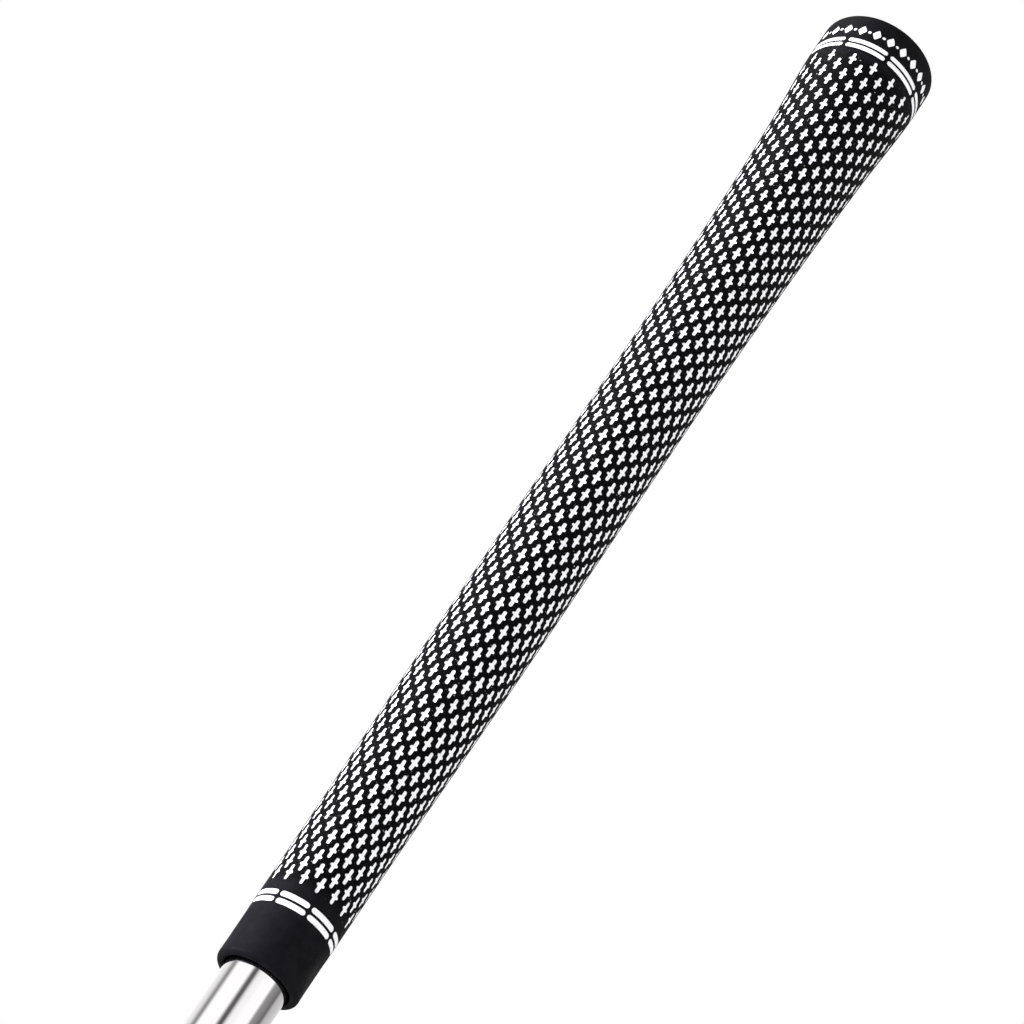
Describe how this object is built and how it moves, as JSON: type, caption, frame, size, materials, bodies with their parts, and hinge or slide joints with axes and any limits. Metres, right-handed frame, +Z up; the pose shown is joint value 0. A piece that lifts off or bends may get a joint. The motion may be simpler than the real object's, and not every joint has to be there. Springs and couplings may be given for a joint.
{
  "type": "golf grip",
  "caption": "Tapered black rubber golf grip with a dense pattern of white crosses, fitted on the butt of a tapered steel shaft stub.",
  "frame": {"origin": "centre of the shaft's lower cut end", "axes": "+Z up the shaft's axis, from the cut end through the grip's mouth to the butt cap; -Y faces the front column of crosses"},
  "size_m": [0.027, 0.027, 0.3085],
  "materials": {
    "steel": "polished plated steel",
    "tape": "matt paper tape",
    "sleeve_rubber": "satin moulded rubber",
    "cap_rubber": "satin moulded rubber",
    "white_paint": "matt paint fill"
  },
  "bodies": {
    "root": {"shaft_butt": "steel", "grip_tape": "tape", "grip_sleeve": "sleeve_rubber", "butt_cap": "cap_rubber", "mouth_ring_lower": "white_paint", "mouth_ring_upper": "white_paint", "cap_ring_lower": "white_paint", "cap_ring_upper": "white_paint", "cap_lozenges": "white_paint"}
  },
  "joints": []
}
